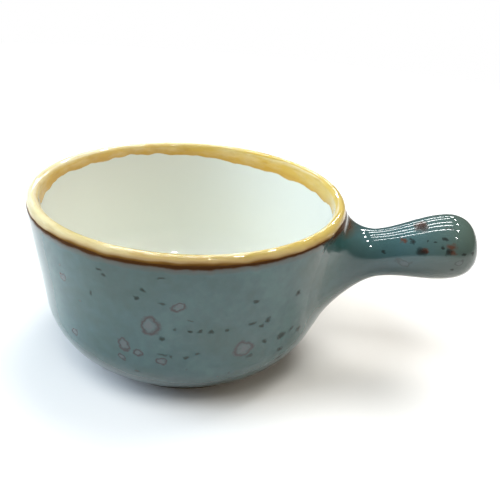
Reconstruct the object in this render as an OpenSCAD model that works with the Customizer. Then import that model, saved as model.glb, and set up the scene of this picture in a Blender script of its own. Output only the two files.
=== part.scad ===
// Small glazed stoneware sauce dish: a round bowl on a foot ring, with one stub handle.
// The bowl stands on the XY plane with its axis on Z, and the handle runs out along +X.
// Sizes are those of the finished, glazed dish in millimetres.

/* [Bowl] */
// Outside diameter at the widest point, just under the lip
rim_d = 106; // [98:1:114]
// Height from the table to the crest of the lip
bowl_h = 59; // [56:0.5:64]
// Lean of the wall from upright, in degrees
wall_lean = 7; // [5:0.5:9]
// Thickness of the wall
wall_t = 4.2; // [3.9:0.1:5]
// Outside radius of the rounded belly
belly_r = 25; // [22:0.5:27]
// Radius of the rounded corner inside
well_r = 20; // [17:0.5:22]
// Thickness of the floor
floor_t = 5; // [4.2:0.1:6]

/* [Lip] */
// Radius of the rounded crest
lip_r = 1.8; // [1.4:0.1:1.9]
// Drop from the crest to the widest point
lip_drop = 4.2; // [3.6:0.1:5]
// Depth of the coloured band down the outside
band_out = 3.8; // [2.6:0.1:4.4]
// Depth of the coloured band down the inside
band_in = 4.8; // [3:0.1:7]

/* [Foot] */
// Height of the bare ring under the belly
foot_h = 2.1; // [1.6:0.1:3]
// Width of the ring
foot_w = 5; // [3.5:0.5:7]
// Depth of the hollow inside the ring
foot_recess = 1.8; // [1.2:0.1:2.4]
// Chamfer round the edges of the ring
foot_chamfer = 0.5; // [0.2:0.1:0.8]

/* [Handle] */
// Distance from the bowl's axis to the tip of the knob
handle_reach = 96.2; // [90:0.1:106]
// Drop from the crest of the lip to the handle's axis at the wall
handle_drop = 18.4; // [17:0.2:20]
// Rise of the handle's axis, in degrees
handle_rise = 14.5; // [9:0.5:17]
// Thickness of the neck
neck_d = 16.1; // [14:0.1:17]
// Thickness of the knob
knob_d = 21.3; // [18:0.1:24]
// How far the end of the knob is squared, from 0 for a round end
knob_square = 0.18; // [0:0.02:0.3]
// Width of the handle over its thickness
handle_oval = 1.05; // [1:0.01:1.15]

/* [Handle root] */
// Drop from the crest of the lip to the top of the root
root_top = 2; // [1.9:0.1:4]
// Spread of the root beyond the neck on each side
root_side = 15; // [10:0.5:17]
// Spread of the root below the neck
root_low = 18; // [12:0.5:20]
// Squareness of the root's upper corners
root_square = 0.6; // [0:0.05:0.65]
// Length along the handle over which the root spreads down and sideways
root_len = 15; // [13:0.5:18]
// Length along the handle over which the root spreads up
root_top_len = 16; // [12:0.5:18]
// Depth to which the spread runs into the wall
root_sink = 0.4; // [0.3:0.05:0.8]

/* [Coats] */
// Thickness of the fired glaze
glaze_t = 0.5; // [0.3:0.05:0.5]
// Thickness of the slip that joins the handle to the wall
slip_t = 0.3; // [0.2:0.05:0.4]

/* [Hidden] */
$fn = 96;
clay = "#D8CBB4";
slip = "#BFAE92";
white = "#E6EAE1";
blue = "#64797C";
ochre = "#CDA843";

arc_steps = 10;
ring_steps = 40;
root_steps = 10;
neck_steps = 8;
cap_steps = 6;

rim_r = rim_d / 2;
out_dir = [cos(wall_lean), -sin(wall_lean)];
widest = [rim_r, bowl_h - lip_drop];
floor_z = foot_recess + floor_t;

// Lip: a small crest circle that the inside wall runs into, eased to the outside wall by a wider shoulder
crest_r = min(lip_r, 0.46 * wall_t);
crest_z = bowl_h - crest_r;
crest_c = [
    rim_r - (wall_t - crest_r + out_dir.y * (crest_z - widest.y)) / out_dir.x,
    crest_z
];
crest_off = widest - crest_c;
shoulder_r = (crest_off * crest_off - crest_r * crest_r) / (2 * (wall_t - 2 * crest_r));
shoulder_c = widest - shoulder_r * out_dir;
shoulder_a = atan2(crest_c.y - shoulder_c.y, crest_c.x - shoulder_c.x);

// Belly outside and rounded corner inside, each tangent to its wall
belly_c = [
    rim_r - (belly_r - out_dir.y * (widest.y - belly_r)) / out_dir.x,
    belly_r
];
well_z = floor_z + well_r;
well_c = [
    rim_r - (well_r + wall_t - out_dir.y * (widest.y - well_z)) / out_dir.x,
    well_z
];
belly_top = belly_c.y + belly_r * out_dir.y;
foot_a = asin((foot_h - belly_r) / belly_r);
foot_r = belly_c.x + (belly_r - glaze_t) * cos(foot_a);
foot_in = foot_r - foot_w;

// Handle: axis from the wall to the knob
axis_z = bowl_h - handle_drop;
root_x = outer_r(axis_z, 0);
neck_r = neck_d / 2;
knob_r = knob_d / 2;
neck_s = root_len - root_sink;
knob_s = (handle_reach - root_x) / cos(handle_rise) - knob_r;
spread_top = bowl_h - root_top - axis_z - neck_r;

function arc(centre, r, from, to) = [
    for (i = [0 : arc_steps])
        let (a = from + (to - from) * i / arc_steps)
        centre + r * [cos(a), sin(a)]
];

function reversed(line) = [for (i = [len(line) - 1 : -1 : 0]) line[i]];

// Outside of the dish from the foot up to the shoulder, d inside the finished surface
function outer_line(d) = concat(
    arc(belly_c, belly_r - d, foot_a, -wall_lean),
    arc(shoulder_c, shoulder_r - d, -wall_lean, shoulder_a)
);

// Inside of the dish from the lip down to the middle of the floor, d inside the finished surface
function inner_line(d) = concat(
    arc(crest_c, crest_r - d, shoulder_a, 180 - wall_lean),
    arc(well_c, well_r + d, -wall_lean, -90),
    [[0, floor_z - d]]
);

// Whole glazed face, from the foot over the lip to the middle of the floor
function face_line(d) = concat(outer_line(d), inner_line(d));

function arc_r(centre, r, z) = centre.x + sqrt(r * r - pow(z - centre.y, 2));

// Radius of the belly, wall or shoulder at height z, d inside the finished surface
function outer_r(z, d) =
    z < belly_top ? arc_r(belly_c, belly_r - d, z)
    : z > widest.y ? arc_r(shoulder_c, shoulder_r - d, z)
    : rim_r + (out_dir.y * (widest.y - z) - d) / out_dir.x;

function wall_x(y, z, d) = sqrt(pow(outer_r(z, d), 2) - y * y);

function smooth(t) = t * t * (3 - 2 * t);

// Handle sections from the wall to the knob, each a distance along the axis and a radius
root_sections = [
    for (i = [0 : root_steps])
        [root_len * (1 - cos(90 * i / root_steps)) - root_sink, neck_r]
];
neck_sections = [
    for (i = [1 : neck_steps])
        let (t = i / neck_steps)
        [neck_s + (knob_s - neck_s) * t, neck_r + (knob_r - neck_r) * smooth(t)]
];
function cap_sections(d) = [
    for (i = [1 : cap_steps - 1])
        let (a = 90 * i / cap_steps, e = 1 - knob_square, r = knob_r - d)
        [knob_s + r * pow(sin(a), e), d + r * pow(cos(a), e)]
];

function axis_at(s) = [root_x + s * cos(handle_rise), 0, axis_z + s * sin(handle_rise)];

// Nearness to the wall, from 1 in it to 0 at the given distance from it
function nearness(gap, length) = max(0, 1 - gap / length);

// Share of the root's sideways and downward spread at a distance from the wall: a quarter of an ellipse
function share(gap, length) = 1 - sqrt(1 - pow(nearness(gap, length), 2));

function signed_pow(x, e) = sign(x) * pow(abs(x), e);

// One closed ring of the handle's surface, d inside the finished surface
function ring(section, d) =
    let (
        centre = axis_at(section[0]),
        r = section[1] - d,
        gap = section[0] + root_sink,
        near = nearness(gap, root_len),
        hold = near * near,
        tilt = handle_rise * (1 - hold),
        high = r + spread_top * pow(nearness(gap, root_top_len), 2),
        low = r + root_low * share(gap, root_len),
        wide = r * handle_oval + root_side * share(gap, root_len)
    )
    [
        for (i = [0 : ring_steps - 1])
            let (
                a = 360 * i / ring_steps,
                upper = sin(a) > 0,
                e = upper ? 1 - root_square * near : 1,
                y = wide * signed_pow(cos(a), e),
                up = (upper ? high : low) * signed_pow(sin(a), e),
                z = centre.z + up * cos(tilt),
                pull = hold > 0 ? hold * (wall_x(y, z, d) - root_x) : 0
            )
            [centre.x - up * sin(tilt) + pull, y, z]
    ];

// Whole handle as one closed skin, run into the wall at its root
module handle_skin(d) {
    sections = concat(root_sections, neck_sections, cap_sections(d));
    rings = [for (s = sections) ring(s, d)];
    n = ring_steps;
    last = len(rings) - 1;
    root = axis_at(-root_sink) - [d, 0, 0];
    tip = axis_at(knob_s + knob_r - d);
    points = concat([for (r = rings) for (p = r) p], [root, tip]);
    root_i = n * (last + 1);
    tip_i = root_i + 1;
    sides = [
        for (k = [0 : last - 1])
            for (i = [0 : n - 1])
                let (j = (i + 1) % n, a = k * n, b = a + n)
                each [[a + i, b + i, b + j], [a + i, b + j, a + j]]
    ];
    root_cap = [for (i = [0 : n - 1]) [root_i, i, (i + 1) % n]];
    tip_cap = [for (i = [0 : n - 1]) [tip_i, last * n + (i + 1) % n, last * n + i]];
    polyhedron(points, concat(sides, root_cap, tip_cap));
}

// Bowl filled solid out to d inside the finished surface
module bowl_block(d) {
    outside = outer_line(d);
    top = outside[len(outside) - 1].y;
    rotate_extrude()
        polygon(concat([[0, outside[0].y]], outside, [[0, top]]));
}

// Section of a coat between the finished line and the clay's line
module coat_section(finished, bare) {
    polygon(concat(finished, reversed(bare)));
}

// Part of the section that the coloured band covers
module band_section() {
    outside = bowl_h - band_out;
    inside = bowl_h - band_in;
    polygon([
        [0, inside], [crest_c.x, inside], [crest_c.x, outside],
        [2 * rim_r, outside], [2 * rim_r, 2 * bowl_h], [0, 2 * bowl_h]
    ]);
}

module bowl_body() {
    base_z = foot_recess + glaze_t;
    c = foot_chamfer;
    foot_line = [
        [0, base_z], [foot_in, base_z], [foot_in, c], [foot_in + c, 0], [foot_r - c, 0], [foot_r, c]
    ];
    color(clay)
        rotate_extrude()
            polygon(concat(foot_line, face_line(glaze_t)));
}

module luting_slip() {
    color(slip)
        difference() {
            intersection() {
                handle_skin(glaze_t);
                bowl_block(glaze_t - slip_t);
            }
            bowl_block(glaze_t);
        }
}

module handle() {
    color(clay)
        difference() {
            handle_skin(glaze_t);
            bowl_block(glaze_t - slip_t);
        }
}

module inner_glaze() {
    color(white)
        rotate_extrude()
            difference() {
                coat_section(inner_line(0), inner_line(glaze_t));
                band_section();
            }
}

module outer_glaze() {
    color(blue)
        difference() {
            rotate_extrude()
                difference() {
                    coat_section(outer_line(0), outer_line(glaze_t));
                    band_section();
                }
            handle_skin(glaze_t);
        }
}

module base_glaze() {
    color(blue)
        translate([0, 0, foot_recess])
            cylinder(h = glaze_t, r = foot_in);
}

module handle_glaze() {
    color(blue)
        difference() {
            handle_skin(0);
            handle_skin(glaze_t);
            bowl_block(0);
        }
}

module rim_glaze() {
    color(ochre)
        rotate_extrude()
            intersection() {
                coat_section(face_line(0), face_line(glaze_t));
                band_section();
            }
}

bowl_body();
luting_slip();
handle();
inner_glaze();
outer_glaze();
base_glaze();
handle_glaze();
rim_glaze();
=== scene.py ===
import math

import bmesh
import bpy
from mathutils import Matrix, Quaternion, Vector


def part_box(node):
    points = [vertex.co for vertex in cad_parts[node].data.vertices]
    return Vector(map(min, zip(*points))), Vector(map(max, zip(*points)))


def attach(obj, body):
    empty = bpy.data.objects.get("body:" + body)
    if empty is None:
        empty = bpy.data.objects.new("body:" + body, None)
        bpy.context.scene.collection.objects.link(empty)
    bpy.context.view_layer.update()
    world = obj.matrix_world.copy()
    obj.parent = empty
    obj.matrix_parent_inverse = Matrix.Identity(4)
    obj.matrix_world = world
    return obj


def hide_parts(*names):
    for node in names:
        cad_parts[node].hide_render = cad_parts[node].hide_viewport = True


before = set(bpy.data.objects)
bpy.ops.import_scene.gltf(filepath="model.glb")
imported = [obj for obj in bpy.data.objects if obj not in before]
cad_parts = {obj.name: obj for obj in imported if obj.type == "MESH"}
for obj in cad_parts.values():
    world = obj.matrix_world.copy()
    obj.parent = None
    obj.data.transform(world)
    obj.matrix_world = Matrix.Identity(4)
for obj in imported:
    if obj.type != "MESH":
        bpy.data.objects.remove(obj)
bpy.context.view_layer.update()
MM = 0.001

# Bowl body: the stoneware bowl, formed on a wheel and fired once before it is glazed.
# Buff clay with sand and iron specks in it. The CAD solid stays, and only its bare foot ring shows.


def linear(colour):
    """An sRGB hex value as the linear colour that a socket takes."""
    parts = [int(colour[i:i + 2], 16) / 255 for i in (1, 3, 5)]
    return [p / 12.92 if p <= 0.04045 else ((p + 0.055) / 1.055) ** 2.4 for p in parts] + [1.0]


def add(tree, kind, inputs=None, stops=None, **settings):
    """One node with its settings, its colour stops, and its inputs set or linked by name or by number."""
    node = tree.nodes.new(kind)
    for name, value in settings.items():
        setattr(node, name, value)
    if stops:
        steps = node.color_ramp.elements
        steps.remove(steps[1])
        steps[0].position, steps[0].color = stops[0][0], linear(stops[0][1])
        for place, colour in stops[1:]:
            steps.new(place).color = linear(colour)
    in_use = [s for s in node.inputs if s.enabled]
    for key, value in (inputs or {}).items():
        socket = in_use[key] if isinstance(key, int) else next(s for s in in_use if s.name == key)
        if isinstance(value, bpy.types.Node):
            value = next(s for s in value.outputs if s.enabled)
        if isinstance(value, bpy.types.NodeSocket):
            tree.links.new(value, socket)
        else:
            socket.default_value = value
    return node


def begin_finish(name):
    """A new material, its node tree, and the point on the piece in millimetres."""
    finish = bpy.data.materials.new(name)
    finish.use_nodes = True
    tree = finish.node_tree
    tree.nodes.clear()
    place = add(tree, "ShaderNodeTexCoord").outputs["Object"]
    point = add(tree, "ShaderNodeVectorMath", {0: place, 1: [1 / MM] * 3}, operation="MULTIPLY")
    return finish, tree, point


# Fired stoneware is matt and slightly sandy, with dark iron specks.
# The sides of the foot ring turn dark brown above its bottom face.
sand_mm = 0.7
speck_gap = 2.6
darker_from, darker_to = 0.15, 0.5
stoneware, tree, point = begin_finish("fired buff stoneware")
sand = add(tree, "ShaderNodeTexNoise", {"Vector": point, "Scale": 1 / sand_mm, "Detail": 5.0})
buffs = [(0.32, "#C6B597"), (0.5, "#D8CBB4"), (0.7, "#E5DAC6")]
buff = add(tree, "ShaderNodeValToRGB", {0: sand}, buffs)
grains = add(tree, "ShaderNodeTexVoronoi", {"Vector": point, "Scale": 1 / speck_gap})
speck = add(tree, "ShaderNodeMapRange", {0: grains, 1: 0.08, 2: 0.13, 3: 0.8, 4: 0.0})
specked = add(tree, "ShaderNodeMix", {0: speck, 1: buff, 2: linear("#6B4B33")}, data_type="RGBA")
height = add(tree, "ShaderNodeSeparateXYZ", {0: point}).outputs["Z"]
darker_sides = add(tree, "ShaderNodeMapRange", {0: height, 1: darker_from, 2: darker_to, 3: 0.0, 4: 0.9})
specked = add(tree, "ShaderNodeMix", {0: darker_sides, 1: specked, 2: linear("#2E2721")}, data_type="RGBA")
sandy = add(tree, "ShaderNodeBump", {"Strength": 0.5, "Distance": 0.08 * MM, "Height": sand})
finish_in = {"Base Color": specked, "Roughness": 0.85, "Normal": sandy}
clay = add(tree, "ShaderNodeBsdfPrincipled", finish_in)
add(tree, "ShaderNodeOutputMaterial", {0: clay})
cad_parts["bowl_body"].material_slots[0].material = stoneware

# Luting slip: the thin wet clay that sticks the handle to the wall before the firing.
# The same clay thinned with water, so smoother and a little darker.
# The CAD solid stays, hidden in the joint.

slip_cloud_mm = 2.5
slip_clay, tree, point = begin_finish("fired joining slip")
clouds = add(tree, "ShaderNodeTexNoise", {"Vector": point, "Scale": 1 / slip_cloud_mm, "Detail": 3.0})
drab = add(tree, "ShaderNodeValToRGB", {0: clouds}, [(0.35, "#B3A184"), (0.65, "#C9B99E")])
brushed = add(tree, "ShaderNodeBump", {"Strength": 0.3, "Distance": 0.05 * MM, "Height": clouds})
finish_in = {"Base Color": drab, "Roughness": 0.8, "Normal": brushed}
slip = add(tree, "ShaderNodeBsdfPrincipled", finish_in)
add(tree, "ShaderNodeOutputMaterial", {0: slip})
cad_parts["luting_slip"].material_slots[0].material = slip_clay

# Handle: the stub handle of the same stoneware, joined to the bowl before the firing.
# The CAD solid stays, and the blue handle coat covers all of it.

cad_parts["handle"].material_slots[0].material = stoneware

# White lining: the white glaze poured into the well, which runs up under the ochre band.
# It is turned from one line, which runs from under the band down the wall
# and the rounded corner to the middle of the floor.

glaze_t = 0.5
coat_depth = 0.08
coat_t = 0.34
rim_low, rim_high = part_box("rim_glaze")
rim_r = 53.0
bowl_h = rim_high.z / MM
band_in_z = rim_low.z / MM
floor_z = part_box("inner_glaze")[0].z / MM + glaze_t
wall_lean = math.radians(7)
wall_t = 4.2
well_r = 20.0
lip_drop = 4.2
lining_lap = 2.0
out_dir = Vector((math.cos(wall_lean), -math.sin(wall_lean)))
widest = Vector((rim_r, bowl_h - lip_drop))


def wall_at(z, inset):
    """The point on the line of the straight wall at a height, inset from its outside face."""
    return Vector((rim_r + (out_dir.y * (widest.y - z) - inset) / out_dir.x, z))


def arc(centre, radius, start, end, steps=48):
    """Points along an arc, from one angle to another."""
    turns = [start + (end - start) * i / steps for i in range(steps + 1)]
    return [centre + radius * Vector((math.cos(a), math.sin(a))) for a in turns]


wheel = bpy.data.node_groups.new("turned on the wheel", "GeometryNodeTree")
for name, kind in (
    ("Section", "Geometry"), ("Steps round", "Int"), ("Steps along", "Int"),
    ("First edge wander", "Float"), ("Last edge wander", "Float"), ("Wander length", "Float"),
    ("Last edge swing", "Float"), ("Swing towards", "Float"),
    ("Edge dip", "Float"), ("Edge width", "Float"), ("Ripple", "Float"), ("Ripple length", "Float"),
    ("Finish", "Material"),
):
    wheel.interface.new_socket(name, in_out="INPUT", socket_type="NodeSocket" + kind)
wheel.interface.new_socket("Coat", in_out="OUTPUT", socket_type="NodeSocketGeometry")
given = add(wheel, "NodeGroupInput").outputs
sheet = add(wheel, "GeometryNodeMeshGrid", {2: given["Steps round"], 3: given["Steps along"]})
share = add(wheel, "ShaderNodeSeparateXYZ", {0: sheet.outputs["UV Map"]}).outputs
angle = add(wheel, "ShaderNodeMath", {0: share["X"], 1: math.tau}, operation="MULTIPLY")
section = add(wheel, "GeometryNodeMeshToCurve", {0: given["Section"]})
full = add(wheel, "GeometryNodeCurveLength", {0: section})
# Each edge wanders by noise taken round a ring, so that it meets itself.
on_rim = (rim_r * MM, 0, 0)
ring = add(wheel, "ShaderNodeVectorRotate", {0: on_rim, "Angle": angle}, rotation_type="Z_AXIS")
wanders = add(wheel, "ShaderNodeMath", {0: 1.0, 1: given["Wander length"]}, operation="DIVIDE")
cuts = []
for seed, edge in ((3.0, "First edge wander"), (8.0, "Last edge wander")):
    lobes = add(
        wheel, "ShaderNodeTexNoise", {"Vector": ring, "W": seed, "Scale": wanders, "Detail": 1.0},
        noise_dimensions="4D",
    )
    cuts.append(add(wheel, "ShaderNodeMapRange", {0: lobes, 1: 0.3, 2: 0.7, 3: 0.0, 4: given[edge]}))
# The last edge also swings, furthest on two opposite sides.
past = add(wheel, "ShaderNodeMath", {0: angle, 1: given["Swing towards"]}, operation="SUBTRACT")
twice = add(wheel, "ShaderNodeMath", {0: past, 1: 2.0}, operation="MULTIPLY")
swing = add(wheel, "ShaderNodeMath", {0: twice}, operation="COSINE")
furthest = given["Last edge swing"]
short = add(wheel, "ShaderNodeMapRange", {0: swing, 1: 1.0, 2: -1.0, 3: 0.0, 4: furthest})
last_cut = add(wheel, "ShaderNodeMath", {0: cuts[1], 1: short}, operation="ADD")
ends = add(wheel, "ShaderNodeMath", {0: full, 1: last_cut}, operation="SUBTRACT")
along = add(wheel, "ShaderNodeMapRange", {0: share["Y"], 3: cuts[0], 4: ends})
from_first = add(wheel, "ShaderNodeMath", {0: along, 1: cuts[0]}, operation="SUBTRACT")
from_last = add(wheel, "ShaderNodeMath", {0: ends, 1: along}, operation="SUBTRACT")
# The coat thins to nothing at its edges and ripples as a melted glaze does.
to_edge = add(wheel, "ShaderNodeMath", {0: from_first, 1: from_last}, operation="MINIMUM")
dip_in = {0: to_edge, 1: 0.0, 2: given["Edge width"], 3: given["Edge dip"], 4: 0.0}
dip = add(wheel, "ShaderNodeMapRange", dip_in, interpolation_type="SMOOTHSTEP")
spot = add(wheel, "GeometryNodeSampleCurve", {"Curves": section, "Length": along}, mode="LENGTH").outputs
flat_place = spot["Position"]
ripples = add(wheel, "ShaderNodeMath", {0: 1.0, 1: given["Ripple length"]}, operation="DIVIDE")
on_dish = add(wheel, "ShaderNodeVectorRotate", {0: flat_place, "Angle": angle}, rotation_type="Z_AXIS")
swell = add(wheel, "ShaderNodeTexNoise", {"Vector": on_dish, "Scale": ripples, "Detail": 1.0})
hollow = add(wheel, "ShaderNodeMapRange", {0: swell, 1: 0.3, 2: 0.7, 3: 0.0, 4: given["Ripple"]})
sunk = add(wheel, "ShaderNodeMath", {0: dip, 1: hollow}, operation="ADD")
crossed = {0: (0, 1, 0), 1: spot["Tangent"]}
outward = add(wheel, "ShaderNodeVectorMath", crossed, operation="CROSS_PRODUCT")
inward = add(wheel, "ShaderNodeVectorMath", {0: outward, "Scale": sunk}, operation="SCALE")
laid = add(wheel, "ShaderNodeVectorMath", {0: flat_place, 1: inward}, operation="SUBTRACT")
placed = add(wheel, "ShaderNodeVectorRotate", {0: laid, "Angle": angle}, rotation_type="Z_AXIS")
marked = sheet.outputs["Mesh"]
for label, distance in (("mm_from_first_edge", from_first), ("mm_from_last_edge", from_last)):
    in_mm = add(wheel, "ShaderNodeMath", {0: distance, 1: 1 / MM}, operation="MULTIPLY")
    stored = {0: marked, "Name": label, "Value": in_mm}
    marked = add(wheel, "GeometryNodeStoreNamedAttribute", stored)
shaped = add(wheel, "GeometryNodeSetPosition", {0: marked, "Position": placed})
closed = add(wheel, "GeometryNodeMergeByDistance", {0: shaped, "Distance": 0.001 * MM})
smooth = add(wheel, "GeometryNodeSetShadeSmooth", {0: closed})
whole = add(wheel, "GeometryNodeRealizeInstances", {0: smooth})
painted = add(wheel, "GeometryNodeSetMaterial", {0: whole, "Material": given["Finish"]})
add(wheel, "NodeGroupOutput", {0: painted})


def turn(name, line, sizes, finish):
    """One coat turned from its section line by the tree above, as a plain mesh."""
    mesh = bpy.data.meshes.new(name)
    points = [(p.x * MM, 0, p.y * MM) for p in line]
    mesh.from_pydata(points, [(i, i + 1) for i in range(len(line) - 1)], [])
    piece = bpy.data.objects.new(name, mesh)
    bpy.context.scene.collection.objects.link(piece)
    turning = piece.modifiers.new("Turning", "NODES")
    turning.node_group = wheel
    for socket in wheel.interface.items_tree:
        if socket.name in sizes:
            turning[socket.identifier] = sizes[socket.name]
        if socket.name == "Finish":
            turning[socket.identifier] = finish
    made = piece.evaluated_get(bpy.context.evaluated_depsgraph_get())
    piece.data = bpy.data.meshes.new_from_object(made)
    piece.modifiers.clear()
    return piece


def thicken(piece):
    """Gives a coat its thickness, behind the face that shows."""
    wall = piece.modifiers.new("Coat thickness", "SOLIDIFY")
    wall.thickness = coat_t * MM
    wall.offset = -1
    wall.use_even_offset = True


# White glaze over pale clay: glossy, and faintly green where it lies thick.
# The wheel's rings are just felt under it.
pool_deep = 22
ring_gap = 3.4
milk_cloud_mm = 16
white_glaze, tree, point = begin_finish("white tin glaze")
height = add(tree, "ShaderNodeSeparateXYZ", {0: point}).outputs["Z"]
pooled = add(tree, "ShaderNodeMapRange", {0: height, 1: floor_z, 2: floor_z + pool_deep, 3: 0.9, 4: 0.1})
clouds = add(tree, "ShaderNodeTexNoise", {"Vector": point, "Scale": 1 / milk_cloud_mm, "Detail": 3.0})
cloudy = add(tree, "ShaderNodeMath", {0: pooled, 1: clouds}, operation="MULTIPLY")
whites = {0: cloudy, 1: linear("#E3E6DE"), 2: linear("#DCE3DC")}
milk = add(tree, "ShaderNodeMix", whites, data_type="RGBA")
rings = add(tree, "ShaderNodeMath", {0: height, 1: math.tau / ring_gap}, operation="MULTIPLY")
ridges = add(tree, "ShaderNodeMath", {0: rings}, operation="SINE")
felt = add(tree, "ShaderNodeMath", {0: ridges, 1: 0.1, 2: clouds}, operation="MULTIPLY_ADD")
soft = add(tree, "ShaderNodeBump", {"Strength": 0.2, "Distance": 0.1 * MM, "Height": felt})
finish_in = {"Base Color": milk, "Roughness": 0.05, "IOR": 1.5, "Normal": soft}
glass = add(tree, "ShaderNodeBsdfPrincipled", finish_in)
add(tree, "ShaderNodeOutputMaterial", {0: glass})

well_z = floor_z + well_r
well_c = wall_at(well_z, wall_t + well_r)
lining_line = [wall_at(band_in_z + lining_lap, wall_t - coat_depth)]
lining_line += arc(well_c, well_r + coat_depth, -wall_lean, -math.pi / 2)
lining_line += [Vector((0, floor_z - coat_depth))]
coat_sizes = {
    "Steps round": 257, "Steps along": 90, "Wander length": 7 * MM, "Edge width": 1 * MM,
    "Ripple": 0.04 * MM, "Ripple length": 16 * MM,
}
lining = turn("white_lining", lining_line, coat_sizes, white_glaze)
thicken(lining)
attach(lining, "root")
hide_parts("inner_glaze")

# Blue wall coat: the blue-grey reactive glaze on the outside of the bowl, up to under the ochre band.
# The dish is dipped in it, and iron breaks through as brown flecks and ringed islands in the firing.

belly_r = 25.0
lip_r = 1.8
wall_lap = 1.5
foot_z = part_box("outer_glaze")[0].z / MM
band_out_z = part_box("outer_glaze")[1].z / MM
crest_c = wall_at(bowl_h - lip_r, wall_t - lip_r)
crest_off = widest - crest_c
shoulder_r = (crest_off.dot(crest_off) - lip_r ** 2) / (2 * (wall_t - 2 * lip_r))
shoulder_c = widest - shoulder_r * out_dir
belly_c = wall_at(belly_r, belly_r)


def outside_r(z, depth):
    """Radius of the belly, wall or shoulder at a height, at a depth below the finished face."""
    if z < belly_c.y + belly_r * out_dir.y:
        return belly_c.x + math.sqrt((belly_r - depth) ** 2 - (z - belly_c.y) ** 2)
    if z > widest.y:
        return shoulder_c.x + math.sqrt((shoulder_r - depth) ** 2 - (z - shoulder_c.y) ** 2)
    return wall_at(z, depth).x


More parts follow.
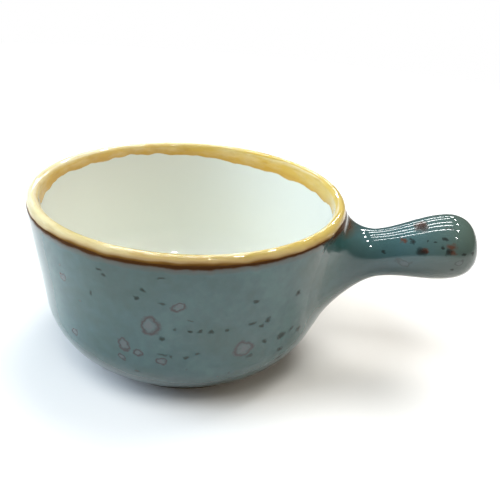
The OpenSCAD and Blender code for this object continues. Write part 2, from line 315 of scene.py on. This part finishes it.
def reactive_glaze(name, burn_z, dark, clear, flecks, islands, rusts):
    """The blue glaze, burnt above a height, with marks by centre, half width and half height.

    Flecks take the dark colour, and clear is how strongly the islands show.
    """
    finish, tree, point = begin_finish(name)
    axes = add(tree, "ShaderNodeSeparateXYZ", {0: point}).outputs
    # The reaction leaves broad clouds of slate and teal, with a finer bloom in them.
    cloud_mm, bloom_mm = 22, 3.2
    broad = add(tree, "ShaderNodeTexNoise", {"Vector": point, "Scale": 1 / cloud_mm, "Detail": 3.0})
    bloom = add(tree, "ShaderNodeTexNoise", {"Vector": point, "Scale": 1 / bloom_mm, "Detail": 4.0})
    mottle = add(tree, "ShaderNodeMath", {0: bloom, 1: 0.35, 2: broad}, operation="MULTIPLY_ADD")
    colour = add(
        tree, "ShaderNodeValToRGB", {0: mottle},
        [(0.45, "#315753"), (0.62, "#39615F"), (0.72, "#3E6668"), (0.9, "#4A7474")],
    )
    # It turns greyer along the handle, first bluish by the bowl and then greenish at the knob.
    flat = add(tree, "ShaderNodeVectorMath", {0: point, 1: (1, 1, 0)}, operation="MULTIPLY")
    radius = add(tree, "ShaderNodeVectorMath", {0: flat}, operation="LENGTH").outputs["Value"]
    for start, end, strength, tint in ((0.0, 4.0, 0.5, "#465C62"), (18.0, 36.0, 0.7, "#57655A")):
        greyer = {0: radius, 1: rim_r + start, 2: rim_r + end, 3: 0.0, 4: strength}
        greyer = add(tree, "ShaderNodeMapRange", greyer)
        colour = add(tree, "ShaderNodeMix", {0: greyer, 1: colour, 2: linear(tint)}, data_type="RGBA")
    # Towards the foot it turns darker and browner: this is painted shade, where the belly turns under
    # towards the table.
    dark_z, clear_z = 5.0, 17.0
    painted_foot_shade = add(tree, "ShaderNodeMapRange", {0: axes["Z"], 1: dark_z, 2: clear_z, 3: 0.8, 4: 0.0})
    colour = add(tree, "ShaderNodeMix", {0: painted_foot_shade, 1: colour, 2: linear("#2C2F2A")}, data_type="RGBA")
    # Marks get ragged edges from a shift of the point that they are measured from.
    # It is finer for flecks than for islands.
    shifted = []
    for tear_mm, furthest in ((2.0, 2.4), (3.6, 4.0)):
        noise = add(tree, "ShaderNodeTexNoise", {"Vector": point, "Scale": 1 / tear_mm, "Detail": 3.0})
        middle = {0: noise.outputs["Color"], 1: [0.5] * 3}
        centred = add(tree, "ShaderNodeVectorMath", middle, operation="SUBTRACT")
        shift = {0: centred, 1: [furthest] * 3, 2: point}
        shifted.append(add(tree, "ShaderNodeVectorMath", shift, operation="MULTIPLY_ADD"))
    # Stray flecks and islands lie scattered over the far sides, where none are placed one by one.
    beyond = 9.0
    past_left = {0: axes["X"], 1: -1.0, 2: -0.7 * rim_r}
    left_side = add(tree, "ShaderNodeMath", past_left, operation="MULTIPLY_ADD")
    far_side = add(tree, "ShaderNodeMath", {0: axes["Y"], 1: left_side}, operation="MAXIMUM")
    near_side = add(tree, "ShaderNodeMapRange", {0: far_side, 1: -4.0, 2: 4.0, 3: beyond, 4: 0.0})
    reaches = []
    for torn, cell, largest in zip(shifted, (5.5, 14.0), (0.3, 0.22)):
        scatter = add(tree, "ShaderNodeTexVoronoi", {"Vector": torn, "Scale": 1 / cell})
        any_size = {0: scatter.outputs["Color"], 1: largest}
        any_size = add(tree, "ShaderNodeMath", any_size, operation="MULTIPLY")
        stray = add(tree, "ShaderNodeMath", {0: scatter, 1: any_size}, operation="DIVIDE")
        reaches.append(add(tree, "ShaderNodeMath", {0: stray, 1: near_side}, operation="ADD"))
    reaches.append(beyond)
    # The others are placed one by one, and each point keeps its reach from the nearest mark of a kind.
    for i, marks in enumerate((flecks, islands, rusts)):
        for centre, wide, tall in marks:
            shrink = Vector((1 / wide, 1 / wide, 1 / tall))
            local = {0: shifted[i % 2], 1: shrink, 2: -centre * shrink}
            local = add(tree, "ShaderNodeVectorMath", local, operation="MULTIPLY_ADD")
            reach = add(tree, "ShaderNodeVectorMath", {0: local}, operation="LENGTH").outputs["Value"]
            reaches[i] = add(tree, "ShaderNodeMath", {0: reaches[i], 1: reach}, operation="MINIMUM")
    # Islands have a mauve-grey middle and a brown outline, and flecks are one dark brown.
    island = add(tree, "ShaderNodeMapRange", {0: reaches[1], 1: 0.4, 2: 0.9, 3: 0.6 * clear, 4: 0.0})
    colour = add(tree, "ShaderNodeMix", {0: island, 1: colour, 2: linear("#6C6A70")}, data_type="RGBA")
    rise = add(tree, "ShaderNodeMapRange", {0: reaches[1], 1: 0.65, 2: 0.9, 3: 0.0, 4: 1.0})
    fall = add(tree, "ShaderNodeMapRange", {0: reaches[1], 1: 1.0, 2: 1.3, 3: 0.95 * clear, 4: 0.0})
    outline = add(tree, "ShaderNodeMath", {0: rise, 1: fall}, operation="MULTIPLY")
    colour = add(tree, "ShaderNodeMix", {0: outline, 1: colour, 2: linear("#33272A")}, data_type="RGBA")
    rust = add(tree, "ShaderNodeMapRange", {0: reaches[2], 1: 0.4, 2: 1.2, 3: 0.9, 4: 0.0})
    colour = add(tree, "ShaderNodeMix", {0: rust, 1: colour, 2: linear("#5C3A2C")}, data_type="RGBA")
    fleck = add(tree, "ShaderNodeMapRange", {0: reaches[0], 1: 0.55, 2: 1.25, 3: 0.8, 4: 0.0})
    colour = add(tree, "ShaderNodeMix", {0: fleck, 1: colour, 2: linear(dark)}, data_type="RGBA")
    # By the band the iron runs into it, first as a reddish haze and then as a nearly black line.
    # The line is weaker on the far left and right, and runs a little lower on the handle.
    level = add(tree, "ShaderNodeMath", {0: bloom, 1: 1.6, 2: axes["Z"]}, operation="MULTIPLY_ADD")
    spent = add(tree, "ShaderNodeMapRange", {0: axes["X"], 1: -rim_r, 2: -0.7 * rim_r, 3: -1.0, 4: 0.0})
    level = add(tree, "ShaderNodeMath", {0: level, 1: spent}, operation="ADD")
    weaker = {0: axes["X"], 1: 0.3 * rim_r, 2: 0.7 * rim_r, 3: 0.0, 4: -0.4}
    weaker = add(tree, "ShaderNodeMapRange", weaker)
    level = add(tree, "ShaderNodeMath", {0: level, 1: weaker}, operation="ADD")
    lower = {0: radius, 1: rim_r + 0.5, 2: rim_r + 1.5, 3: 0.0, 4: 1.7}
    lower = add(tree, "ShaderNodeMapRange", lower)
    level = add(tree, "ShaderNodeMath", {0: level, 1: lower}, operation="ADD")
    by_bowl = add(tree, "ShaderNodeMapRange", {0: radius, 1: rim_r + 3, 2: rim_r + 8, 3: 1.0, 4: 0.0})
    for start, end, strength, tint in ((-0.4, 1.5, 0.8, "#54402E"), (1.3, 1.8, 1.0, "#4A2D12")):
        scorch = {0: level, 1: burn_z + start, 2: burn_z + end, 3: 0.0, 4: strength}
        scorch = add(tree, "ShaderNodeMapRange", scorch)
        burnt = add(tree, "ShaderNodeMath", {0: scorch, 1: by_bowl}, operation="MULTIPLY")
        colour = add(tree, "ShaderNodeMix", {0: burnt, 1: colour, 2: linear(tint)}, data_type="RGBA")
    # Flecks and burnt glaze lie a little low, and are dull and dry beside the clear glaze.
    worn = add(tree, "ShaderNodeMath", {0: fleck, 1: burnt}, operation="MAXIMUM")
    sunk_in = {"Strength": 0.1, "Distance": 0.1 * MM, "Height": worn}
    skin = add(tree, "ShaderNodeBump", sunk_in, invert=True)
    dull = add(tree, "ShaderNodeMapRange", {0: worn, 3: 0.05, 4: 0.4})
    dry = add(tree, "ShaderNodeMapRange", {0: worn, 3: 0.5, 4: 0.05})
    finish_in = {
        "Base Color": colour, "Roughness": dull, "Specular IOR Level": dry, "IOR": 1.6, "Normal": skin,
    }
    glass = add(tree, "ShaderNodeBsdfPrincipled", finish_in)
    add(tree, "ShaderNodeOutputMaterial", {0: glass})
    return finish


def on_wall(marks):
    """Marks on the wall: degrees round from the handle, height, and whole width and height in mm."""
    placed = []
    for turned, z, wide, tall in marks:
        r, a = outside_r(z, 0), math.radians(turned)
        placed.append((Vector((r * math.cos(a), r * math.sin(a), z)), wide / 2, tall / 2))
    return placed


wall_flecks = [
    (-104, 51.2, 1.9, 1.2), (-102, 49.7, 1.6, 1.4), (-90, 47.4, 1.8, 1.3), (-92, 44.7, 1.5, 1.6),
    (-84, 43.7, 1.9, 0.8), (-84, 52.4, 2.0, 0.8), (-121, 47.2, 0.9, 0.9), (-114, 37.4, 1.2, 0.8),
    (-108, 42.4, 1.0, 1.2), (-84, 31.4, 1.6, 1.5), (-80, 35.0, 1.3, 1.2), (-94, 16.4, 1.8, 0.7),
    (-75, 34.4, 1.1, 1.1), (-72, 34.2, 2.0, 1.2), (-68, 34.0, 1.7, 1.6), (-75, 38.4, 1.9, 0.6),
    (-63, 34.2, 1.3, 1.1), (-54, 35.2, 2.0, 1.4), (-50, 33.4, 1.8, 1.2), (-48, 35.0, 1.9, 2.0),
    (-53, 22.4, 2.4, 1.6), (-48, 26.7, 2.0, 1.6), (-54, 43.2, 2.4, 1.2), (-36, 41.4, 2.0, 2.4),
    (-40, 26.4, 3.6, 2.2), (-35, 27.2, 1.8, 1.8), (-30, 25.2, 2.4, 2.4), (-39, 20.4, 3.0, 1.8),
    (-38, 15.7, 3.2, 1.8), (-76, 24.4, 1.2, 1.1), (-72, 26.0, 1.5, 1.0), (-76, 19.0, 0.9, 0.9),
    (-60, 16.2, 1.0, 1.2), (-64, 15.0, 1.5, 0.6), (-81, 24.2, 0.9, 0.9), (-84, 25.0, 3.6, 1.1),
]
wall_islands = [
    (-88, 35.4, 5.0, 6.6), (-98, 26.7, 3.0, 4.6), (-99, 21.2, 2.6, 2.3), (-93, 24.4, 3.2, 3.6),
    (-84, 22.2, 3.0, 2.6), (-79, 42.7, 3.4, 2.8), (-121, 43.2, 2.2, 1.9), (-120, 23.7, 2.8, 2.8),
    (-56, 25.7, 5.4, 5.4),
]
wall_burn_z = band_out_z - 0.3
blue_glaze = reactive_glaze(
    "blue reactive glaze", wall_burn_z, "#353A34", 1.0,
    on_wall(wall_flecks), on_wall(wall_islands), [],
)

foot_a = math.asin((foot_z - belly_c.y) / belly_r)
top_a = math.asin((band_out_z + wall_lap - shoulder_c.y) / shoulder_r)
wall_line = arc(belly_c, belly_r - coat_depth, foot_a, -wall_lean)
wall_line += arc(shoulder_c, shoulder_r - coat_depth, -wall_lean, top_a, 12)
wall_coat = turn("blue_wall_coat", wall_line, coat_sizes, blue_glaze)

# The coat stops at the handle's root, as the handle was on before the dip.
axis_drop = 18.4
axis_z = bowl_h - axis_drop
root_wide, root_high, root_deep = 18.0, 12.0, 20.0
root_cover = 0.9
cutter = bmesh.new()
cutter.from_mesh(wall_coat.data)
covered = []
for face in cutter.faces:
    middle = face.calc_center_median() / MM
    up = middle.z - axis_z
    up_share = up / (root_high if up > 0 else root_deep)
    if middle.x > 0 and math.hypot(middle.y / root_wide, up_share) < root_cover:
        covered.append(face)
bmesh.ops.delete(cutter, geom=covered, context="FACES")
cutter.to_mesh(wall_coat.data)
cutter.free()
thicken(wall_coat)
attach(wall_coat, "root")
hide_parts("outer_glaze")

# Blue base coat: the same glaze inside the foot ring.
# It is wiped off the ring itself, so that the dish doesn't stick in the kiln.
# The CAD solid is the right shape, so it stays.

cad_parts["base_glaze"].material_slots[0].material = blue_glaze

# Blue handle coat: the same glaze over the handle, run into the wall coat at the flared root.
# It is skinned over rings, from a wide root under the rim through the waisted neck to the blunt knob.

handle_reach = 96.2
handle_rise = math.radians(14.5)
neck_r = 16.1 / 2
knob_r = 21.3 / 2
knob_square = 0.18
handle_oval = 1.05
root_top = 2.0
root_side = 15.0
root_low = 18.0
root_square = 0.6
root_len = 15.0
root_top_len = 16.0
root_sink = 0.4
feather = 3.0
edge_s, edge_wide, edge_depth = 0.5, 2.5, 0.08
ring_steps = 128
root_rings, neck_rings, knob_rings = 44, 26, 20
root_x = outside_r(axis_z, 0)
knob_s = (handle_reach - root_x) / math.cos(handle_rise) - knob_r
spread_top = bowl_h - root_top - axis_z - neck_r


def nearness(gap, length):
    """One at the wall, falling to nothing at a length from it."""
    return max(0.0, 1 - gap / length)


def bent(value, power):
    """A sine or cosine raised to a power that squares the ring, with its sign kept."""
    return math.copysign(abs(value) ** power, value)


def handle_point(s, r, a, depth):
    """The handle's face: a distance along its axis, its radius there, and an angle from the far side."""
    gap = s + root_sink * min(1.0, max(0.0, s) / feather)
    near = nearness(gap, root_len)
    spread = 1 - math.sqrt(1 - near ** 2)
    hold = near ** 2
    tilt = handle_rise * (1 - hold)
    power = 1 - root_square * near if math.sin(a) > 0 else 1.0
    reach_up = r - depth + spread_top * nearness(gap, root_top_len) ** 2
    hem = edge_wide * max(0.0, 1 - s / edge_s) ** 2
    reach_down = r - depth + root_low * spread + hem
    reach_side = (r - depth) * handle_oval + root_side * spread + hem
    y = reach_side * bent(math.cos(a), power)
    up = (reach_up if math.sin(a) > 0 else reach_down) * bent(math.sin(a), power)
    z = axis_z + s * math.sin(handle_rise) + up * math.cos(tilt)
    pull = hold * (math.sqrt(outside_r(z, depth) ** 2 - y ** 2) - root_x) if hold else 0.0
    return Vector((root_x + s * math.cos(handle_rise) - up * math.sin(tilt) + pull, y, z))


def neck_at(s):
    """Radius of the neck, which swells to that of the knob."""
    t = min(1.0, max(0.0, (s - root_len) / (knob_s - root_len)))
    return neck_r + (knob_r - neck_r) * t * t * (3 - 2 * t)


def knob_at(s):
    """Radius of the squared end of the knob, beyond its widest ring."""
    power = 2 / (1 - knob_square)
    return knob_r * max(0.01, 1 - ((s - knob_s) / knob_r) ** power) ** (1 / power)


def on_handle(marks):
    """Marks on the handle: distance along it, degrees up from its near side, and whole width and height."""
    placed = []
    for s, lift, wide, tall in marks:
        r = neck_at(s) if s < knob_s else knob_at(s)
        placed.append((handle_point(s, r, math.pi - math.radians(lift), 0), wide / 2, tall / 2))
    return placed


handle_flecks = [
    (16.7, 26, 1.5, 1.2), (26.2, 40, 1.6, 1.6), (28.3, 20, 3.4, 2.4), (30.4, 38, 0.8, 0.8),
    (32.5, 34, 0.8, 0.8), (35.7, 38, 1.4, 1.5), (34.7, 26, 1.2, 1.5), (36.5, 16, 2.2, 2.2),
    (41.2, 8, 1.7, 1.1), (43.7, 4, 1.2, 1.0), (37.4, -18, 1.0, 0.8), (36.5, 56, 1.0, 0.8),
    (38.2, 56, 1.1, 0.9), (29.0, 68, 4.6, 3.2), (25.5, 45, 1.4, 0.9),
]
handle_islands = [(22.5, -2, 4.4, 2.4), (39.7, -6, 3.0, 1.6)]
handle_rusts = [
    (23.0, 46, 2.8, 1.4), (29.4, 22, 2.2, 1.8), (37.4, 24, 3.4, 2.0), (37.8, 14, 2.4, 2.0),
    (29.0, 74, 5.0, 3.6),
]
handle_burn_z = band_out_z - 1.1
handle_glaze = reactive_glaze(
    "blue reactive glaze on the handle", handle_burn_z, "#150F0B", 0.4,
    on_handle(handle_flecks), on_handle(handle_islands), on_handle(handle_rusts),
)

lengths = [root_len * (1 - math.cos(math.pi / 2 * i / root_rings)) for i in range(root_rings + 1)]
lengths += [root_len + (knob_s - root_len) * i / neck_rings for i in range(1, neck_rings + 1)]
turns = [math.tau * k / ring_steps for k in range(ring_steps)]
skin = bmesh.new()
hoops = []
for s in lengths:
    depth = coat_depth + edge_depth * max(0.0, 1 - s / edge_s) ** 2
    hoops.append([handle_point(s, neck_at(s), turn_a, depth) for turn_a in turns])
for i in range(1, knob_rings):
    a = math.pi / 2 * i / knob_rings
    cap = (knob_r - coat_depth) * math.cos(a) ** (1 - knob_square) + coat_depth
    s = knob_s + (knob_r - coat_depth) * math.sin(a) ** (1 - knob_square)
    hoops.append([handle_point(s, cap, turn_a, coat_depth) for turn_a in turns])
hoops = [[skin.verts.new(p * MM) for p in hoop] for hoop in hoops]
tip_s = knob_s + knob_r - coat_depth
tip = skin.verts.new(handle_point(tip_s, coat_depth, 0, coat_depth) * MM)
for near_hoop, far_hoop in zip(hoops, hoops[1:]):
    for k in range(ring_steps):
        j = (k + 1) % ring_steps
        skin.faces.new((near_hoop[k], near_hoop[j], far_hoop[j], far_hoop[k]))
for k in range(ring_steps):
    skin.faces.new((hoops[-1][k], hoops[-1][(k + 1) % ring_steps], tip))
bmesh.ops.recalc_face_normals(skin, faces=skin.faces)
for face in skin.faces:
    face.smooth = True
handle_mesh = bpy.data.meshes.new("blue_handle_coat")
skin.to_mesh(handle_mesh)
skin.free()
handle_mesh.materials.append(handle_glaze)
handle_coat = bpy.data.objects.new("blue_handle_coat", handle_mesh)
bpy.context.scene.collection.objects.link(handle_coat)
thicken(handle_coat)
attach(handle_coat, "root")
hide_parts("handle_glaze")

# Ochre rim band: the iron-yellow glaze brushed round the lip last, over the white and the blue.
# It is turned like the other coats, and its lower edges wander inside and out as the brush left them.

band_depth = 0.02
wander_out = 0.6
wander_in = 1.2
deeper_in = 2.9
band_lift = 0.7

# Iron in the band fires to amber where it is thick and straw where it is thin.
# Along its outer edge it is nearly black.
brush_draw = 4
band_width = 10.0
uneven_mm, patch_mm, glint_line_mm, run_mm = 2.0, 3.0, 0.8, 1.6
ochre_glaze, tree, point = begin_finish("ochre iron glaze")
from_outer = add(tree, "ShaderNodeAttribute", attribute_name="mm_from_first_edge").outputs["Fac"]
from_inner = add(tree, "ShaderNodeAttribute", attribute_name="mm_from_last_edge").outputs["Fac"]
# The brush leaves streaks along the lip, so the noise is drawn out four times round the ring.
flat = add(tree, "ShaderNodeVectorMath", {0: point, 1: (1, 1, 0)}, operation="MULTIPLY")
around = add(tree, "ShaderNodeVectorMath", {0: flat}, operation="NORMALIZE")
ring_mm = add(tree, "ShaderNodeVectorMath", {0: around, "Scale": rim_r / brush_draw}, operation="SCALE")
across = add(tree, "ShaderNodeCombineXYZ", {"Z": from_outer})
lay = add(tree, "ShaderNodeVectorMath", {0: ring_mm, 1: across}, operation="ADD")
uneven = add(tree, "ShaderNodeTexNoise", {"Vector": lay, "Scale": 1 / uneven_mm, "Detail": 3.0})
edge_mm = add(tree, "ShaderNodeMath", {0: uneven, 1: -0.5, 2: from_outer}, operation="MULTIPLY_ADD")
axes = add(tree, "ShaderNodeSeparateXYZ", {0: point}).outputs
spent = add(tree, "ShaderNodeMapRange", {0: axes["X"], 1: -rim_r, 2: -0.3 * rim_r, 3: 1.0, 4: 0.0})
edge_mm = add(tree, "ShaderNodeMath", {0: edge_mm, 1: spent}, operation="ADD")
narrower = {0: axes["X"], 1: 0.3 * rim_r, 2: 0.7 * rim_r, 3: 0.0, 4: 0.5}
narrower = add(tree, "ShaderNodeMapRange", narrower)
edge_mm = add(tree, "ShaderNodeMath", {0: edge_mm, 1: narrower}, operation="ADD")
from_edge = add(tree, "ShaderNodeMapRange", {0: edge_mm, 1: -0.25, 2: band_width - 0.25})
ochre = add(
    tree, "ShaderNodeValToRGB", {0: from_edge},
    [
        (0.0, "#452A10"), (0.01, "#4A2E10"), (0.04, "#66441B"), (0.08, "#7A5626"), (0.115, "#967342"),
        (0.155, "#B99C6C"), (0.2, "#CAB078"), (0.28, "#B09A5A"), (0.36, "#B5A152"), (0.47, "#BCA850"),
        (0.6, "#DAB858"), (0.8, "#D8AC42"), (1.0, "#CEA036"),
    ],
)
# Broad patches run pale or amber along the lip, and finer ones break them up. Towards the left, away from
# the handle, the outer half turns paler: a painted reflection of the bright room at that grazing side.
patchy = {"Vector": lay, "Scale": 1 / patch_mm, "Detail": 3.0, "Roughness": 0.6}
patches = add(tree, "ShaderNodeTexNoise", patchy)
# Painted reflection: the outer half of the band is paler towards the left.
painted_left_reflection = add(tree, "ShaderNodeMapRange", {0: axes["X"], 1: -rim_r, 2: 0.1 * rim_r, 3: 0.9, 4: 0.0})
outer_half = add(tree, "ShaderNodeMapRange", {0: from_outer, 1: 5.0, 2: 6.5, 3: 1.0, 4: 0.0})
painted_left_reflection = add(tree, "ShaderNodeMath", {0: painted_left_reflection, 1: outer_half}, operation="MULTIPLY")
pale = add(tree, "ShaderNodeMapRange", {0: patches, 1: 0.45, 2: 0.75, 3: 0.0, 4: 0.35})
pale = add(tree, "ShaderNodeMath", {0: pale, 1: painted_left_reflection}, operation="ADD")
above = add(tree, "ShaderNodeMapRange", {0: edge_mm, 1: 0.8, 2: 2.4, 3: 0.0, 4: 1.0})
pale = add(tree, "ShaderNodeMath", {0: pale, 1: above}, operation="MULTIPLY")
straw = add(tree, "ShaderNodeMix", {0: pale, 1: ochre, 2: linear("#F2E8BE")}, data_type="RGBA")
richer = add(tree, "ShaderNodeMapRange", {0: axes["X"], 1: 0.4 * rim_r, 2: rim_r, 3: 0.0, 4: 0.8})
richer = add(tree, "ShaderNodeMath", {0: richer, 1: above}, operation="MULTIPLY")
straw = add(tree, "ShaderNodeMix", {0: richer, 1: straw, 2: linear("#DCC26E")}, data_type="RGBA")
# Thin pale lines along the crest are painted highlights, standing in for the lamp glints along the lip.
drawn = add(tree, "ShaderNodeVectorMath", {0: lay, 1: (0.1, 0.1, 1.0)}, operation="MULTIPLY")
painted_glint_lines = add(tree, "ShaderNodeTexNoise", {"Vector": drawn, "Scale": 1 / glint_line_mm, "Detail": 0.0})
line = add(tree, "ShaderNodeMapRange", {0: painted_glint_lines, 1: 0.56, 2: 0.68, 3: 0.0, 4: 0.55})
crest = add(tree, "ShaderNodeMapRange", {0: from_outer, 1: 5.0, 2: 7.0, 3: 1.0, 4: 0.0})
line = add(tree, "ShaderNodeMath", {0: line, 1: crest}, operation="MULTIPLY")
line = add(tree, "ShaderNodeMath", {0: line, 1: above}, operation="MULTIPLY")
straw = add(tree, "ShaderNodeMix", {0: line, 1: straw, 2: linear("#F7F0D8")}, data_type="RGBA")
runny = {"Vector": lay, "Scale": 1 / run_mm, "Detail": 4.0, "Roughness": 0.6}
runs = add(tree, "ShaderNodeTexNoise", runny)
thick = add(tree, "ShaderNodeMapRange", {0: runs, 1: 0.48, 2: 0.28, 3: 0.0, 4: 0.3})
amber = add(tree, "ShaderNodeMix", {0: thick, 1: straw, 2: linear("#B07E2C")}, data_type="RGBA")
# It gathers to a deeper ochre inside the well, and fades at its edge there.
gathered = add(tree, "ShaderNodeMapRange", {0: from_inner, 1: 0.8, 2: 3.2, 3: 0.8, 4: 0.0})
amber = add(tree, "ShaderNodeMix", {0: gathered, 1: amber, 2: linear("#C89A30")}, data_type="RGBA")
thin = add(tree, "ShaderNodeMapRange", {0: from_inner, 1: 0.0, 2: 0.9, 3: 1.0, 4: 0.0})
fading = add(tree, "ShaderNodeMix", {0: thin, 1: amber, 2: linear("#EBE6CE")}, data_type="RGBA")
# It is dry along its dark outer edge, and less glossy where the eye looks along the lip.
edge_on = add(tree, "ShaderNodeLayerWeight", {"Blend": 0.5}).outputs["Facing"]
fluid = add(tree, "ShaderNodeBump", {"Strength": 0.15, "Distance": 0.1 * MM, "Height": runs})
dry = add(tree, "ShaderNodeMapRange", {0: edge_mm, 1: 0.8, 2: 3.0, 3: 0.02, 4: 0.7})
matt = add(tree, "ShaderNodeMapRange", {0: edge_on, 1: 0.84, 2: 0.97, 3: 1.0, 4: 0.05})
dry = add(tree, "ShaderNodeMath", {0: dry, 1: matt}, operation="MULTIPLY")
finish_in = {
    "Base Color": fading, "Roughness": 0.04, "Specular IOR Level": dry, "IOR": 1.6, "Normal": fluid,
}
glass = add(tree, "ShaderNodeBsdfPrincipled", finish_in)
add(tree, "ShaderNodeOutputMaterial", {0: glass})

shoulder_a = math.atan2(crest_c.y - shoulder_c.y, crest_c.x - shoulder_c.x)
band_a = math.asin((band_out_z + band_lift - shoulder_c.y) / shoulder_r)
band_line = arc(shoulder_c, shoulder_r - band_depth, band_a, shoulder_a)
band_line += arc(crest_c, lip_r - band_depth, shoulder_a, math.pi - wall_lean)[1:]
band_line += [wall_at(band_in_z - deeper_in, wall_t - band_depth)]
band_sizes = {
    "Steps round": 513, "Steps along": 56,
    "First edge wander": wander_out * MM, "Last edge wander": wander_in * MM,
    "Wander length": 8 * MM, "Last edge swing": 2.4 * MM, "Swing towards": math.radians(50),
    "Edge dip": 0.14 * MM, "Edge width": 1.1 * MM,
    "Ripple": 0.03 * MM, "Ripple length": 6 * MM,
}
rim_band = turn("ochre_rim_band", band_line, band_sizes, ochre_glaze)
thicken(rim_band)
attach(rim_band, "root")
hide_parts("rim_glaze")

# Table: the plain white table under the dish, wide enough to be all that the camera sees.
# Painted board, matt, which keeps the shadow. Rays that the eye follows see it brighter,
# and far off it is plain white, or grey where the glaze mirrors it.

table_mesh = bpy.data.meshes.new("table")
half = 30.0
plain_from, plain_to = 200.0, 700.0
mirrored_glow = 0.45
corners = [(-half, -half, 0), (half, -half, 0), (half, half, 0), (-half, half, 0)]
table_mesh.from_pydata(corners, [], [(0, 1, 2, 3)])
table = bpy.data.objects.new("table", table_mesh)
bpy.context.scene.collection.objects.link(table)
painted_board, tree, point = begin_finish("white painted board")
seen = add(tree, "ShaderNodeLightPath").outputs
direct = {0: seen["Is Camera Ray"], 1: seen["Is Glossy Ray"]}
direct = add(tree, "ShaderNodeMath", direct, operation="MAXIMUM")
direct = add(tree, "ShaderNodeMath", {0: direct, 1: seen["Is Transmission Ray"]}, operation="MAXIMUM")
paint = {0: direct, 1: linear("#B4B4B4"), 2: linear("#FCFCFC")}
paint = add(tree, "ShaderNodeMix", paint, data_type="RGBA")
board = add(tree, "ShaderNodeBsdfDiffuse", {"Color": paint})
away = add(tree, "ShaderNodeVectorMath", {0: point}, operation="LENGTH").outputs["Value"]
far = add(tree, "ShaderNodeMapRange", {0: away, 1: plain_from, 2: plain_to, 3: 0.0, 4: 1.0})
plain = add(tree, "ShaderNodeMath", {0: far, 1: direct}, operation="MULTIPLY")
glow = add(tree, "ShaderNodeMapRange", {0: seen["Is Glossy Ray"], 3: 1.0, 4: mirrored_glow})
white = add(tree, "ShaderNodeEmission", {"Strength": glow})
top = add(tree, "ShaderNodeMixShader", {0: plain, 1: board, 2: white})
add(tree, "ShaderNodeOutputMaterial", {0: top})
table_mesh.materials.append(painted_board)

# Studio light: a plain room, white to the camera and dim elsewhere, with ceiling tubes and oval lamps.
# Those show only as streaks and dots in the glaze. Soft keys and fills, which don't show there,
# give the light.

room_glow = 0.09
room = bpy.data.worlds.new("plain room")
room.use_nodes = True
tree = room.node_tree
tree.nodes.clear()
straight = add(tree, "ShaderNodeLightPath").outputs["Is Camera Ray"]
hue = {0: straight, 1: linear("#FFF0DC"), 2: linear("#FFFFFF")}
hue = add(tree, "ShaderNodeMix", hue, data_type="RGBA")
shine = add(tree, "ShaderNodeMapRange", {0: straight, 3: room_glow, 4: 1.0})
backdrop = add(tree, "ShaderNodeBackground", {"Color": hue, "Strength": shine})
add(tree, "ShaderNodeOutputWorld", {0: backdrop})
bpy.context.scene.world = room
bpy.context.scene.view_settings.view_transform = "Standard"


def lamp(name, shape, size, size_y, power, place, tint="#FFFFFF"):
    """A lamp that faces down."""
    light = bpy.data.lights.new(name, "AREA")
    light.color = linear(tint)[:3]
    light.shape = shape
    light.size = size
    light.size_y = size_y
    light.energy = power
    holder = bpy.data.objects.new(name, light)
    holder.location = place
    bpy.context.scene.collection.objects.link(holder)
    return holder


ceiling = 2.0
oval_x, tube_x = 0.75, -0.42
oval_long, oval_wide, oval_power = 0.2, 0.11, 8.0
tube_glow = 125.0
shown = []
for y in (-1.1, 0.0, 1.0, 2.2, 3.8):
    shown.append(lamp("oval lamp", "ELLIPSE", oval_long, oval_wide, oval_power, (oval_x, y, ceiling)))
for y, long, wide in (
    (0.0, 1.4, 0.045), (0.6, 1.4, 0.05), (1.2, 1.4, 0.07), (2.4, 1.4, 0.1), (4.4, 3.0, 0.15),
):
    power = tube_glow * long * wide
    shown.append(lamp("ceiling tube", "RECTANGLE", long, wide, power, (tube_x, y, ceiling)))
for holder in shown:
    holder.visible_diffuse = False
for name, size, power, place, tint in (
    ("left key", 1.5, 31.0, (-1.35, -0.45, 1.45), "#E6F3FF"),
    ("left fill", 0.8, 9.0, (-1.3, -0.2, 0.4), "#CCE6FF"),
    ("front key", 0.9, 15.0, (0.15, -0.8, 2.0), "#FFFDF6"),
    ("ceiling panel", 1.3, 34.0, (0.45, 0.7, 2.0), "#FFFCF6"),
    ("right fill", 1.0, 4.3, (1.4, -0.1, 0.8), "#FFEFD8"),
):
    fill = lamp(name, "RECTANGLE", size, size, power, place, tint)
    fill.rotation_mode = "QUATERNION"
    fill.rotation_quaternion = (-fill.location).to_track_quat("-Z", "Y")
    fill.visible_glossy = False

# Camera: a close lens a little above the dish, with the handle to the right and turned slightly forward.
# Its place comes from the ellipse of the rim and the foot in the picture, and it was held slightly tilted.

image_px = 500
focal_px = 601.9
sensor = 36.0
view_azimuth = math.radians(7)
view_elevation = math.radians(26.38)
view_distance = 0.22
view_roll = math.radians(4.91)
view_target = Vector((0.02101, 0.00815, 0.03419))
back = Vector((
    math.sin(view_azimuth) * math.cos(view_elevation),
    -math.cos(view_azimuth) * math.cos(view_elevation),
    math.sin(view_elevation),
))
lens = bpy.data.cameras.new("camera")
lens.sensor_width = sensor
lens.lens = focal_px * sensor / image_px
lens.clip_start = 0.005
camera = bpy.data.objects.new("camera", lens)
camera.location = view_target + back * view_distance
camera.rotation_mode = "QUATERNION"
camera.rotation_quaternion = (-back).to_track_quat("-Z", "Y") @ Quaternion((0, 0, 1), view_roll)
bpy.context.scene.collection.objects.link(camera)
bpy.context.scene.camera = camera
